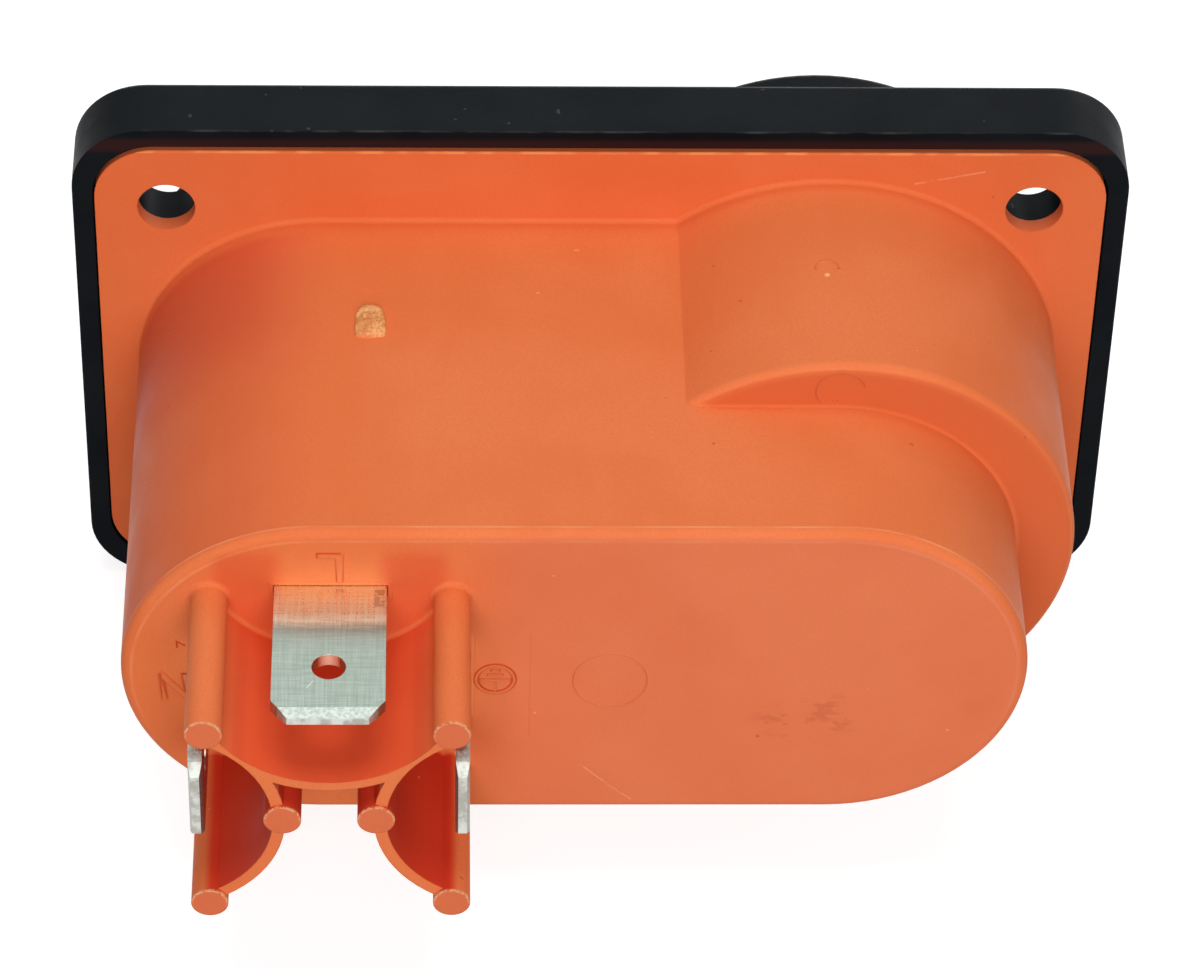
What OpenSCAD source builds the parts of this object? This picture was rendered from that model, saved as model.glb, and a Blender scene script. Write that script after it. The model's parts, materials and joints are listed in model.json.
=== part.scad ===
// Duplex power chassis connector: a male inlet and a female outlet behind one panel plate.
// The origin is the centre of the four fixing holes, on the face that meets the panel.
// The sockets open to -Y, the body and its three tabs point to +Y, and +Z is up.

/* [Front plate] */
// Width of the front plate
plate_w = 62.2; // [61.4:0.2:70]
// Height of the front plate
plate_h = 35.8; // [34.2:0.2:44]
// Depth of the front plate, from the panel face to its front
plate_depth = 4.5; // [3.4:0.1:6]
// Radius of the front plate's corners
plate_corner_r = 4.4; // [3:0.1:6]
// Radius of the front plate's outer edge, on its front
plate_edge_r = 0.4; // [0.2:0.1:0.8]
// Width of the rim that frames the rear flange
rim_w = 1.2; // [0.8:0.1:1.6]
// Gap between the rim and the rear flange's top and bottom edges
flange_slack = 0.3; // [0.1:0.05:0.4]
// Radius of the rear flange's corners
flange_corner_r = 3.6; // [2.6:0.1:4.2]

/* [Fixing holes] */
// Distance from the plate's left and right edges to the fixing holes
hole_inset_x = 5.5; // [5:0.1:6]
// Distance from the plate's top and bottom edges to the fixing holes
hole_inset_z = 5.8; // [5.2:0.1:6]
// Diameter of a fixing hole
hole_d = 3.4; // [3:0.1:3.6]
// Diameter of the countersink on the front
countersink_d = 5.6; // [5:0.1:6.4]

/* [Rear housing] */
// Thickness of the flange behind the front plate
flange_t = 1; // [0.8:0.1:1.4]
// Radius of the body's rounded ends
body_r = 11.1; // [10.9:0.1:11.4]
// Distance from the plate's edge to the body's inlet end, and to the boss
side_margin = 3.5; // [3:0.1:4]
// Distance from the plate's edge to the body's outlet end
outlet_margin = 7.05; // [6.5:0.05:7.5]
// Length of the body behind the panel face
body_len = 26.7; // [25.6:0.1:31]
// Thickness of the body's side wall
body_wall = 1.2; // [1:0.1:1.4]
// Thickness of the wall that the tabs pass through
rear_wall = 1.5; // [1:0.1:2.5]
// Radius of the moulded outer edges
edge_r = 0.6; // [0.2:0.1:0.9]

/* [Outlet boss] */
// Radius of the boss round the outlet
boss_r = 14.2; // [13.8:0.1:14.6]
// Thickness of the boss's wall
boss_wall = 1.2; // [1:0.1:1.4]

/* [Sockets] */
// How far the axis of the inlet and its tabs lies in from the centre of the body's end
inlet_inset = 0.9; // [0.6:0.1:1.2]
// How far the outlet's axis lies in from the boss's axis
outlet_inset = 0.2; // [0:0.1:0.5]
// Length of the inlet's collar in front of the plate
inlet_collar_len = 4; // [3:0.1:5]
// Length of the outlet's collar in front of the plate
outlet_collar_len = 7; // [6:0.1:9]
// Outer radius of the inlet's collar
inlet_collar_r = 11.8; // [11.2:0.1:12.4]
// Outer radius of the outlet's collar
outlet_collar_r = 13.2; // [12.6:0.1:13.8]
// Radius of the outlet's bore
outlet_bore_r = 10.2; // [9.8:0.1:10.5]
// Thickness of the two sleeves that reach into the body
sleeve_wall = 0.9; // [0.7:0.1:1.2]
// Depth of the bayonet slots and groove in the collars' bores
bayonet_depth = 1.2; // [0.8:0.1:1.4]
// Width of a bayonet slot
bayonet_w = 4; // [2:0.2:5]
// Width of the latch notch in each collar
latch_w = 6; // [3:0.5:8]
// Gap between the outlet's core and its sleeve, for the plug's shroud
shroud_gap = 1.4; // [1.2:0.1:1.6]
// How far the core's face lies behind the collar's front
core_recess = 2.1; // [1:0.1:4]

/* [Contacts] */
// Thickness of the blades, tabs and busbars
sheet_t = 0.8; // [0.6:0.05:0.9]
// Inside radius of a bend
bend_r = 0.2; // [0.1:0.05:0.3]
// Width of a rear tab
tab_w = 6.3; // [4.8:0.1:6.3]
// Length of a rear tab behind the body
tab_len = 10.2; // [7.8:0.1:12]
// Distance from the inlet's axis to the line tab
line_tab_out = 6.7; // [6.5:0.1:6.9]
// Distance from the inlet's axis to the neutral and earth tabs
side_tab_out = 7.4; // [7.2:0.1:7.6]
// Diameter of the detent hole in a tab
tab_hole_d = 1.9; // [1.4:0.1:2]
// Distance from the tab's tip to its detent hole
tab_hole_back = 3.8; // [3.2:0.1:4.4]
// Width of an inlet blade
blade_w = 4; // [3:0.1:4.2]
// Distance from a socket's axis to the line contact
line_out = 4.8; // [4.6:0.1:4.9]
// Distance from a socket's axis to the neutral and earth contacts
side_out = 5.3; // [5.1:0.1:5.4]
// How far a blade's tip lies behind the inlet collar's front
blade_recess = 6; // [4:0.5:9]
// Thickness of the outlet's contact leaves
leaf_t = 0.5; // [0.3:0.05:0.6]
// Thickness of the steel grip springs
spring_t = 0.25; // [0.15:0.05:0.3]

/* [Carriers] */
// Thickness of the plates that carry the contacts
carrier_t = 2.4; // [1.8:0.1:3]
// Room for the busbars between the carriers and the rear wall
bus_room = 7.7; // [5:0.1:8.6]
// Clearance between parts that fit together
fit_gap = 0.1; // [0.05:0.05:0.2]
// Thickness of the seal between plate and flange
seal_t = 0.6; // [0.4:0.05:0.8]

/* [Terminal shroud] */
// Length of the shroud's posts behind the body
shroud_len = 10.8; // [8:0.1:12]
// How far the shroud's walls stop short of the posts' tips
wall_short = 0.2; // [0:0.1:1]
// Thickness of the line trough's wall
line_trough_wall = 0.6; // [0.45:0.05:0.75]
// Thickness of the side troughs' walls
side_trough_wall = 0.7; // [0.5:0.05:0.9]
// Radius of the shroud's posts
post_r = 1.05; // [0.9:0.05:1.2]
// Distance from the tabs' centre to the outer posts
post_x = 6.8; // [6.6:0.1:7.1]
// Height of the upper posts
post_top_z = 6.2; // [6:0.1:6.5]
// Height of the lower posts
post_low_z = -7.3; // [-7.6:0.1:-7]
// Distance from the tabs' centre to the two inner posts
post_inner_x = 2.6; // [2.4:0.1:2.8]
// Height of the line trough's floor
line_trough_z = 2.25; // [2.1:0.05:2.4]
// Radius of the line trough
line_trough_r = 7.2; // [7:0.1:7.5]
// Distance from the tabs' centre to the side troughs' floors
side_trough_x = 3.15; // [3:0.05:3.3]
// Radius of the side troughs
side_trough_r = 6.6; // [6.4:0.1:6.8]

/* [Hidden] */
$fn = 96;
cut_over = 1;

// Depths along Y
plate_front_y = -plate_depth;
inlet_front_y = plate_front_y - inlet_collar_len;
outlet_front_y = plate_front_y - outlet_collar_len;
cavity_end_y = body_len - rear_wall;
carrier_rear_y = cavity_end_y - bus_room;
carrier_front_y = carrier_rear_y - carrier_t;
boss_rear_y = carrier_front_y + boss_wall;
bus_front_y = carrier_rear_y + sheet_t;
bus_rear_y = bus_front_y + sheet_t;
tab_tip_y = body_len + tab_len;
blade_tip_y = inlet_front_y + blade_recess;
core_front_y = outlet_front_y + core_recess;

// Places across the plate
boss_x = plate_w / 2 - side_margin - boss_r;
outlet_x = boss_x - outlet_inset;
body_inlet_x = plate_w / 2 - side_margin - body_r;
body_outlet_x = plate_w / 2 - outlet_margin - body_r;
inlet_x = body_inlet_x - inlet_inset;
hole_x = plate_w / 2 - hole_inset_x;
hole_z = plate_h / 2 - hole_inset_z;

// Sizes across the flange and the cavity
flange_w = plate_w - 2 * rim_w - 2 * fit_gap;
flange_h = plate_h - 2 * rim_w - 2 * flange_slack;
cavity_r = body_r - body_wall;
ledge_w = 1.2;
ledge_r = cavity_r - ledge_w;
boss_bore_r = boss_r - boss_wall;
carrier_r = cavity_r - fit_gap;
outlet_sleeve_r = outlet_bore_r + sleeve_wall;
inlet_sleeve_r = cavity_r - fit_gap;
inlet_bore_r = inlet_sleeve_r - sleeve_wall;
core_r = outlet_bore_r - shroud_gap;

// Height of the middle of the side troughs
side_trough_z = -0.7;

// Seal between the plate and the flange
seal_in = 0.3;
seal_w = 0.6;

// Snap hooks that hold the plate to the housing
snap_x = 3;
snap_w = 5;
snap_t = 1.2;
snap_gap = 0.2;
snap_len = 12;
hook_len = 3;
hook_h = 0.5;
snap_outer_z = cavity_r - snap_gap;

// Bayonet groove and latch
bayonet_groove_w = 2;
bayonet_groove_in = 0.6;
bayonet_groove_y = plate_front_y - bayonet_groove_in;
collar_edge_r = 0.5;
latch_depth = 1.6;
key_w = 2;
key_h = 0.7;

// Contacts in the order line, neutral, earth: each one's turn about its socket and its reach
inlet_turns = [0, 90, -90];
outlet_turns = [0, -90, 90];
outs = [line_out, side_out, side_out];

// Chambers, blades, busbars, leaves and rivets
carrier_step = 1;
chamber_half_out = 1.9;
chamber_half_w = 2.2;
entry_play = 0.4;
entry_w = blade_w + entry_play;
entry_t = sheet_t + entry_play;
core_face_t = 2;
land_len = 2.2;
earth_land_len = 4.7;
land_rivet = 1.4;
earth_land_rivet = 3.7;
rivet_r = 0.5;
rivet_head_r = 0.8;
rivet_head_t = 0.35;
head_pocket_r = 1.1;
head_pocket_t = 0.5;
bus_w = 2;
flag_root = 1.6;
line_run_z = 5.4;
neutral_run_r = 5.5;
tab_tip_t = 0.5;
tab_bevel_len = 0.7;
tab_chamfer = 0.9;
tab_chamfer_len = 1.2;
leaf_w = 3.2;
leaf_out = 0.9;
leaf_grip = 0.42;
leaf_mouth = 0.8;
base_half_out = 2.2;
mouth_gap = 0.8;
mouth_len = 3.5;
grip_len = 6;
mouth_y = core_front_y + core_face_t + mouth_gap;
grip_y = mouth_y + mouth_len;
knee_y = grip_y + grip_len;
arm_root = 1;
spring_gap = 0.05;
spring_ring_len = 3.5;

plastic_orange = "#E26A3A";
plastic_black = "#22282A";
plastic_grey = "#3C4144";
tinned = "#C4C9C0";
copper = "#C98A5A";
steel = "#9AA0A6";
rubber = "#1A1A1C";

// Distance from the inlet's axis to a blade's rivet
function rivet_out(i) = i == 2 ? side_out + earth_land_rivet : outs[i] - land_rivet;

// Extrudes an outline drawn in X and Z from y0 to y1
module slab(y0, y1) {
    translate([0, y1, 0]) rotate([90, 0, 0]) linear_extrude(y1 - y0) children();
}

// Extrudes an outline drawn in Y and Z along X, from x0 to x1
module run_x(x0, x1) {
    translate([x0, 0, 0]) rotate([90, 0, 90]) linear_extrude(x1 - x0) children();
}

// Extrudes an outline drawn in X and Y along Z, from z0 to z1
module run_z(z0, z1) {
    translate([0, 0, z0]) linear_extrude(z1 - z0) children();
}

// Turns a section of radius and depth about the Y axis
module turned() {
    rotate([-90, 0, 0]) rotate_extrude() children();
}

module at_outlet() {
    translate([-outlet_x, 0, 0]) children();
}

module at_boss() {
    translate([-boss_x, 0, 0]) children();
}

module at_inlet() {
    translate([inlet_x, 0, 0]) children();
}

// Turns a child about a socket's axis, so that its +Z points outward
module at_contact(turn) {
    rotate([0, turn, 0]) children();
}

module both_sides() {
    for (side = [0, 1]) mirror([side, 0, 0]) children();
}

module top_and_bottom() {
    for (side = [0, 1]) mirror([0, 0, side]) children();
}

module round_disc(r, y0, y1) {
    slab(y0, y1) circle(r);
}

// Outline of the body or its cavity, with round ends of a given radius
module stadium(r) {
    translate([-body_outlet_x, -r]) square([body_outlet_x + body_inlet_x, 2 * r]);
    for (x = [-body_outlet_x, body_inlet_x]) translate([x, 0]) circle(r);
}

module rounded_rect(w, h, r) {
    square([w - 2 * r, h], center = true);
    square([w, h - 2 * r], center = true);
    for (sx = [-1, 1], sz = [-1, 1])
        translate([sx * (w / 2 - r), sz * (h / 2 - r)]) circle(r);
}

module ring(outer_r, inner_r) {
    difference() {
        circle(outer_r);
        circle(inner_r);
    }
}

// Half section of a block: it reaches out to r and back to len, with its far edge rounded
module edge_section(r, len, edge) {
    square([r, len - edge]);
    square([r - edge, len]);
    translate([r - edge, len - edge]) circle(edge);
}

// The same section, drawn to both sides for a straight run
module double_section(r, len, edge) {
    for (side = [0, 1]) mirror([0, side]) mirror([1, -1]) edge_section(r, len, edge);
}

// The long body with its round ends and rounded rear edge
module body_block() {
    for (x = [-body_outlet_x, body_inlet_x])
        translate([x, 0, 0]) turned() edge_section(body_r, body_len, edge_r);
    run_x(-body_outlet_x, body_inlet_x) double_section(body_r, body_len, edge_r);
}

// A plate whose corners and far edge are rounded
module edged_plate(w, h, corner, len, edge) {
    for (sx = [-1, 1], sz = [-1, 1])
        translate([sx * (w / 2 - corner), 0, sz * (h / 2 - corner)])
            turned() edge_section(corner, len, edge);
    run_x(corner - w / 2, w / 2 - corner) double_section(h / 2, len, edge);
    rotate([0, 90, 0]) run_x(corner - h / 2, h / 2 - corner) double_section(w / 2, len, edge);
}

module at_fixing_holes() {
    for (sx = [-1, 1], sz = [-1, 1])
        translate([sx * hole_x, 0, sz * hole_z]) children();
}

// Outline of the housing's mouth, grown by a margin
module mouth_outline(margin) {
    stadium(cavity_r + margin);
    translate([-boss_x, 0]) circle(boss_bore_r + margin);
}

module seal_outline() {
    difference() {
        mouth_outline(seal_in + seal_w);
        mouth_outline(seal_in);
    }
}

// Front plate with its collars, sleeves and snap hooks

module bayonet_cut(bore_r, front_y) {
    slot_r = bore_r + bayonet_depth;
    round_disc(slot_r, bayonet_groove_y, bayonet_groove_y + bayonet_groove_w);
    slab(front_y - cut_over, bayonet_groove_y + bayonet_groove_w)
        intersection() {
            circle(slot_r);
            for (turn = [0, 120, 240])
                rotate(turn) translate([-bayonet_w / 2, 0]) square([bayonet_w, slot_r]);
        }
}

module collar(r, len) {
    translate([0, plate_front_y, 0]) mirror([0, 1, 0]) turned() edge_section(r, len, collar_edge_r);
}

module latch_notch(outer_r, front_y) {
    slab(front_y - cut_over, front_y + latch_depth)
        translate([-latch_w / 2, -outer_r - cut_over]) square([latch_w, outer_r]);
}

module snap_arm() {
    run_x(snap_x - snap_w / 2, snap_x + snap_w / 2) {
        translate([-flange_t - fit_gap, snap_outer_z - snap_t])
            square([snap_len + flange_t + fit_gap, snap_t]);
        polygon([
            [snap_len - hook_len, snap_outer_z - snap_t],
            [snap_len - hook_len, snap_outer_z + hook_h],
            [snap_len - hook_len + hook_h, snap_outer_z + hook_h],
            [snap_len, snap_outer_z - snap_t / 2]
        ]);
    }
}

module fixing_hole_cut() {
    round_disc(hole_d / 2, plate_front_y - cut_over, cut_over);
    translate([0, plate_front_y, 0]) turned()
        polygon([[0, 0], [countersink_d / 2, 0], [0, countersink_d / 2]]);
}

module front_bezel() {
    color(plastic_black) {
        difference() {
            union() {
                mirror([0, 1, 0]) edged_plate(plate_w, plate_h, plate_corner_r, plate_depth, plate_edge_r);
                at_outlet() collar(outlet_collar_r, outlet_collar_len);
                at_inlet() collar(inlet_collar_r, inlet_collar_len);
            }
            slab(-flange_t, cut_over)
                rounded_rect(plate_w - 2 * rim_w, plate_h - 2 * rim_w, flange_corner_r + fit_gap);
            slab(-flange_t - seal_t, 0) seal_outline();
            at_fixing_holes() fixing_hole_cut();
            at_outlet() {
                round_disc(outlet_bore_r, outlet_front_y - cut_over, cut_over);
                bayonet_cut(outlet_bore_r, outlet_front_y);
                latch_notch(outlet_collar_r, outlet_front_y);
            }
            at_inlet() {
                round_disc(inlet_bore_r, inlet_front_y - cut_over, cut_over);
                bayonet_cut(inlet_bore_r, inlet_front_y);
                latch_notch(inlet_collar_r, inlet_front_y);
            }
        }
        at_outlet() slab(-flange_t, carrier_front_y) ring(outlet_sleeve_r, outlet_bore_r);
        at_inlet() {
            slab(-flange_t, carrier_front_y) ring(inlet_sleeve_r, inlet_bore_r);
            slab(-flange_t, carrier_front_y) difference() {
                translate([-key_w / 2, -inlet_sleeve_r + sleeve_wall / 2])
                    square([key_w, sleeve_wall / 2 + key_h]);
                circle(inlet_bore_r - key_h);
            }
        }
        top_and_bottom() snap_arm();
    }
}

// Rear housing with its flange, boss and terminal shroud

// Outline of the line trough's hollow, grown by a margin
module line_hollow(margin) {
    translate([0, line_trough_z + line_trough_r]) circle(line_trough_r + margin);
}

// Outline of both side troughs' hollows, grown by a margin
module side_hollows(margin) {
    for (side = [-1, 1]) translate([side * (side_trough_x + side_trough_r), side_trough_z])
        circle(side_trough_r + margin);
}

// Outline of the three curved walls, which join below the upper posts
module trough_walls() {
    intersection() {
        difference() {
            union() {
                line_hollow(line_trough_wall);
                side_hollows(side_trough_wall);
            }
            line_hollow(0);
            side_hollows(0);
        }
        translate([-post_x, post_low_z]) square([2 * post_x, post_top_z - post_low_z]);
    }
}

module terminal_shroud() {
    middle_z = (post_top_z + post_low_z) / 2;
    places = [[post_x, post_top_z], [post_x, post_low_z], [post_inner_x, middle_z]];
    slab(body_len - rear_wall / 2, body_len + shroud_len - wall_short) trough_walls();
    both_sides() for (place = places)
        translate([place[0], 0, place[1]])
            round_disc(post_r, body_len - rear_wall / 2, body_len + shroud_len);
}

module tab_slot(out) {
    slab(cavity_end_y - cut_over, body_len + cut_over)
        translate([0, out]) square([tab_w + 2 * fit_gap, sheet_t + 2 * fit_gap], center = true);
}

module snap_recess() {
    run_x(snap_x - snap_w / 2 - snap_gap, snap_x + snap_w / 2 + snap_gap)
        translate([snap_len - hook_len - fit_gap, 0])
            square([hook_len + 2 * fit_gap, snap_outer_z + hook_h + fit_gap]);
}

module rear_housing() {
    color(plastic_orange) difference() {
        union() {
            slab(-flange_t, 0) rounded_rect(flange_w, flange_h, flange_corner_r);
            body_block();
            at_boss() turned() edge_section(boss_r, boss_rear_y, edge_r);
            at_inlet() terminal_shroud();
        }
        slab(-flange_t - cut_over, carrier_rear_y) stadium(cavity_r);
        slab(carrier_rear_y - cut_over, cavity_end_y) stadium(ledge_r);
        at_boss() round_disc(boss_bore_r, -flange_t - cut_over, carrier_front_y);
        at_fixing_holes() round_disc(hole_d / 2, -flange_t - cut_over, cut_over);
        top_and_bottom() snap_recess();
        at_inlet() {
            tab_slot(line_tab_out);
            rotate([0, 90, 0]) tab_slot(side_tab_out);
            rotate([0, -90, 0]) tab_slot(side_tab_out);
        }
    }
}

module body_seal() {
    color(rubber) slab(-flange_t - seal_t, -flange_t) difference() {
        mouth_outline(seal_in + seal_w - fit_gap / 2);
        mouth_outline(seal_in + fit_gap / 2);
    }
}

// Inlet carrier and outlet core

// Outline of one half of the cavity, the inlet's where side is 1 and the outlet's where it is -1
module half_outline(side) {
    intersection() {
        stadium(carrier_r);
        translate([side * (plate_w + fit_gap) / 2, 0]) square([plate_w, plate_h], center = true);
    }
}

module inlet_carrier() {
    color(plastic_grey) difference() {
        union() {
            slab(carrier_front_y, carrier_rear_y) half_outline(1);
            at_inlet() round_disc(inlet_bore_r - fit_gap, carrier_front_y - carrier_step, carrier_rear_y);
        }
        at_inlet() {
            for (i = [0, 1, 2]) at_contact(inlet_turns[i]) {
                slab(carrier_front_y - 2 * cut_over, carrier_rear_y + cut_over) translate([0, outs[i]])
                    square([blade_w + 2 * fit_gap, sheet_t + 2 * bend_r], center = true);
                translate([0, 0, rivet_out(i)])
                    round_disc(head_pocket_r, carrier_rear_y - head_pocket_t, carrier_rear_y + cut_over);
            }
            slab(carrier_front_y - 2 * cut_over, carrier_front_y) translate([0, -inlet_bore_r])
                square([key_w + 2 * fit_gap, 2 * (key_h + fit_gap)], center = true);
        }
    }
}

module outlet_core() {
    color(plastic_grey) difference() {
        union() {
            slab(carrier_front_y, carrier_rear_y) half_outline(-1);
            at_outlet() translate([0, carrier_front_y, 0]) mirror([0, 1, 0]) turned()
                edge_section(core_r, carrier_front_y - core_front_y, collar_edge_r);
        }
        at_outlet() {
            for (i = [0, 1, 2]) at_contact(outlet_turns[i]) translate([0, 0, outs[i]]) {
                slab(core_front_y + core_face_t, carrier_rear_y + cut_over)
                    square([2 * chamber_half_w, 2 * chamber_half_out], center = true);
                slab(core_front_y - cut_over, core_front_y + core_face_t + cut_over)
                    square([entry_w, entry_t], center = true);
            }
            for (turn = [0, 120, 240]) rotate([0, turn, 0])
                slab(core_front_y - cut_over, carrier_front_y)
                    translate([0, core_r]) square([key_w, 2 * key_h], center = true);
        }
    }
}

// Inlet blades

// Outline of an L-shaped strip, with its outer corner at the origin
module bent_strip(a, b) {
    outer_r = bend_r + sheet_t;
    translate([outer_r, 0]) square([a - outer_r, sheet_t]);
    translate([0, outer_r]) square([sheet_t, b - outer_r]);
    intersection() {
        translate([outer_r, outer_r]) ring(outer_r, bend_r);
        square([outer_r, outer_r]);
    }
}

// Outline in X and Y of a sheet that points to +Y and has chamfered corners
module pointed_outline(w, len, chamfer, chamfer_len) {
    polygon([
        [-w / 2, 0], [w / 2, 0], [w / 2, len - chamfer_len], [w / 2 - chamfer, len],
        [chamfer - w / 2, len], [-w / 2, len - chamfer_len]
    ]);
}

// Outline in Y and Z of a sheet that gets thinner at its tip
module bevel_outline(len, tip_t, bevel_len) {
    polygon([
        [0, -sheet_t / 2], [len - bevel_len, -sheet_t / 2], [len, -tip_t / 2],
        [len, tip_t / 2], [len - bevel_len, sheet_t / 2], [0, sheet_t / 2]
    ]);
}

// A straight sheet that starts at y = 0 and points to +Y
module pointed_sheet(w, len) {
    intersection() {
        run_z(-sheet_t / 2, sheet_t / 2) pointed_outline(w, len, tab_chamfer, tab_chamfer_len);
        run_x(-w / 2, w / 2) bevel_outline(len, tab_tip_t, tab_bevel_len);
    }
}

// A blade and its rear land: land_side is -1 for a land towards the axis and 1 away from it
module inlet_blade(i, land_side, land) {
    root_y = bus_front_y - 2 * sheet_t;
    color(tinned) at_inlet() at_contact(inlet_turns[i]) difference() {
        union() {
            translate([0, root_y, outs[i]]) mirror([0, 1, 0]) pointed_sheet(blade_w, root_y - blade_tip_y);
            run_x(-blade_w / 2, blade_w / 2)
                translate([bus_front_y, outs[i] - land_side * sheet_t / 2])
                    mirror([1, 0]) mirror([0, land_side < 0 ? 1 : 0])
                        bent_strip(3 * sheet_t, land + sheet_t / 2);
        }
        translate([0, 0, rivet_out(i)])
            round_disc(rivet_r, carrier_rear_y - cut_over, bus_front_y + cut_over);
    }
}

module inlet_blade_line() { inlet_blade(0, -1, land_len); }
module inlet_blade_neutral() { inlet_blade(1, -1, land_len); }
module inlet_blade_earth() { inlet_blade(2, 1, earth_land_len); }

// Busbars, each with its rear tab

// A rear tab with the bend at its root: root_side is -1 where the busbar lies towards the axis
module rear_tab(out, root_side) {
    run_x(-tab_w / 2, tab_w / 2)
        translate([bus_front_y, out - root_side * sheet_t / 2])
            mirror([0, root_side < 0 ? 1 : 0]) bent_strip(3 * sheet_t, flag_root);
    difference() {
        translate([0, bus_rear_y + sheet_t, out]) pointed_sheet(tab_w, tab_tip_y - bus_rear_y - sheet_t);
        translate([0, tab_tip_y - tab_hole_back, out - sheet_t])
            cylinder(r = tab_hole_d / 2, h = 2 * sheet_t);
    }
}

// Holes for the rivets at both ends of a busbar
module bus_rivet_holes(i) {
    at_inlet() at_contact(inlet_turns[i]) translate([0, 0, rivet_out(i)])
        round_disc(rivet_r, bus_front_y - cut_over, bus_rear_y + cut_over);
    at_outlet() at_contact(outlet_turns[i]) translate([0, 0, outs[i]])
        round_disc(rivet_r, bus_front_y - cut_over, bus_rear_y + cut_over);
}

// Pad that covers an outlet contact's base
module outlet_pad(i) {
    at_outlet() at_contact(outlet_turns[i]) slab(bus_front_y, bus_rear_y)
        translate([0, outs[i]]) square([leaf_w, 2 * chamber_half_out], center = true);
}

module busbar_line() {
    color(tinned) difference() {
        union() {
            at_inlet() rear_tab(line_tab_out, -1);
            at_inlet() slab(bus_front_y, bus_rear_y)
                translate([-blade_w / 2, rivet_out(0) - bus_w / 2])
                    square([blade_w, line_tab_out - sheet_t - rivet_out(0) + bus_w / 2]);
            slab(bus_front_y, bus_rear_y)
                translate([-outlet_x, line_run_z - bus_w / 2]) square([outlet_x + inlet_x, bus_w]);
            outlet_pad(0);
        }
        bus_rivet_holes(0);
    }
}

module busbar_neutral() {
    run_in = neutral_run_r - bus_w / 2;
    run_out = neutral_run_r + bus_w / 2;
    color(tinned) difference() {
        union() {
            at_inlet() at_contact(90) rear_tab(side_tab_out, -1);
            at_inlet() at_contact(90) slab(bus_front_y, bus_rear_y)
                translate([-blade_w / 2, rivet_out(1) - bus_w / 2])
                    square([blade_w, side_tab_out - sheet_t - rivet_out(1) + bus_w / 2]);
            slab(bus_front_y, bus_rear_y) intersection() {
                difference() {
                    stadium(run_out);
                    stadium(run_in);
                }
                translate([-plate_w / 2, -body_r]) square([plate_w, body_r]);
            }
            outlet_pad(1);
        }
        bus_rivet_holes(1);
    }
}

module busbar_earth() {
    color(tinned) difference() {
        union() {
            at_inlet() at_contact(-90) rear_tab(side_tab_out, 1);
            slab(bus_front_y, bus_rear_y)
                translate([side_out - outlet_x, -bus_w / 2])
                    square([inlet_x - side_tab_out - sheet_t + outlet_x - side_out, bus_w]);
            outlet_pad(2);
        }
        bus_rivet_holes(2);
    }
}

// Outlet contacts and their grip springs

// Outline in Y and Z of one spring leaf, on the +Z side of the blade's plane
module leaf_outline() {
    polygon([
        [bus_front_y, leaf_out], [knee_y, leaf_out], [grip_y, leaf_grip], [mouth_y, leaf_mouth],
        [mouth_y, leaf_mouth + leaf_t], [grip_y, leaf_grip + leaf_t],
        [knee_y, leaf_out + leaf_t], [bus_front_y, leaf_out + leaf_t]
    ]);
}

module outlet_contact(i) {
    color(copper) at_outlet() at_contact(outlet_turns[i]) translate([0, 0, outs[i]]) difference() {
        union() {
            slab(carrier_rear_y, bus_front_y) square([leaf_w, 2 * base_half_out], center = true);
            top_and_bottom() run_x(-leaf_w / 2, leaf_w / 2) leaf_outline();
        }
        round_disc(rivet_r, carrier_rear_y - cut_over, bus_front_y + cut_over);
    }
}

module outlet_contact_line() { outlet_contact(0); }
module outlet_contact_neutral() { outlet_contact(1); }
module outlet_contact_earth() { outlet_contact(2); }

// Outline in Y and Z of a spring arm that presses on a leaf
module arm_outline() {
    near = leaf_t + spring_gap;
    far = near + spring_t;
    polygon([
        [knee_y + arm_root, leaf_out + near], [knee_y, leaf_out + near], [grip_y, leaf_grip + near],
        [grip_y, leaf_grip + far], [knee_y, leaf_out + far], [knee_y + arm_root, leaf_out + far]
    ]);
}

module grip_spring(i) {
    inner_out = leaf_out + leaf_t + spring_gap;
    inner_w = leaf_w / 2 + spring_gap;
    color(steel) at_outlet() at_contact(outlet_turns[i]) translate([0, 0, outs[i]]) {
        slab(knee_y, knee_y + spring_ring_len) difference() {
            square([2 * (inner_w + spring_t), 2 * (inner_out + spring_t)], center = true);
            square([2 * inner_w, 2 * inner_out], center = true);
        }
        top_and_bottom() run_x(-leaf_w / 2, leaf_w / 2) arm_outline();
    }
}

module grip_spring_line() { grip_spring(0); }
module grip_spring_neutral() { grip_spring(1); }
module grip_spring_earth() { grip_spring(2); }

// Rivets that join the blades and the contacts to the busbars

module rivet() {
    round_disc(rivet_r, carrier_rear_y, bus_rear_y);
    translate([0, bus_rear_y, 0]) turned() edge_section(rivet_head_r, rivet_head_t, rivet_head_t / 2);
    translate([0, carrier_rear_y, 0]) mirror([0, 1, 0]) turned()
        edge_section(rivet_head_r, rivet_head_t, rivet_head_t / 2);
}

module inlet_rivets() {
    color(copper) at_inlet() for (i = [0, 1, 2])
        at_contact(inlet_turns[i]) translate([0, 0, rivet_out(i)]) rivet();
}

module outlet_rivets() {
    color(copper) at_outlet() for (i = [0, 1, 2])
        at_contact(outlet_turns[i]) translate([0, 0, outs[i]]) rivet();
}

front_bezel();
rear_housing();
body_seal();
inlet_carrier();
outlet_core();
inlet_blade_line();
inlet_blade_neutral();
inlet_blade_earth();
busbar_line();
busbar_neutral();
busbar_earth();
outlet_contact_line();
outlet_contact_neutral();
outlet_contact_earth();
grip_spring_line();
grip_spring_neutral();
grip_spring_earth();
inlet_rivets();
outlet_rivets();
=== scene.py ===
import json
import math

import bpy
from mathutils import Matrix, Vector, noise


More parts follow.
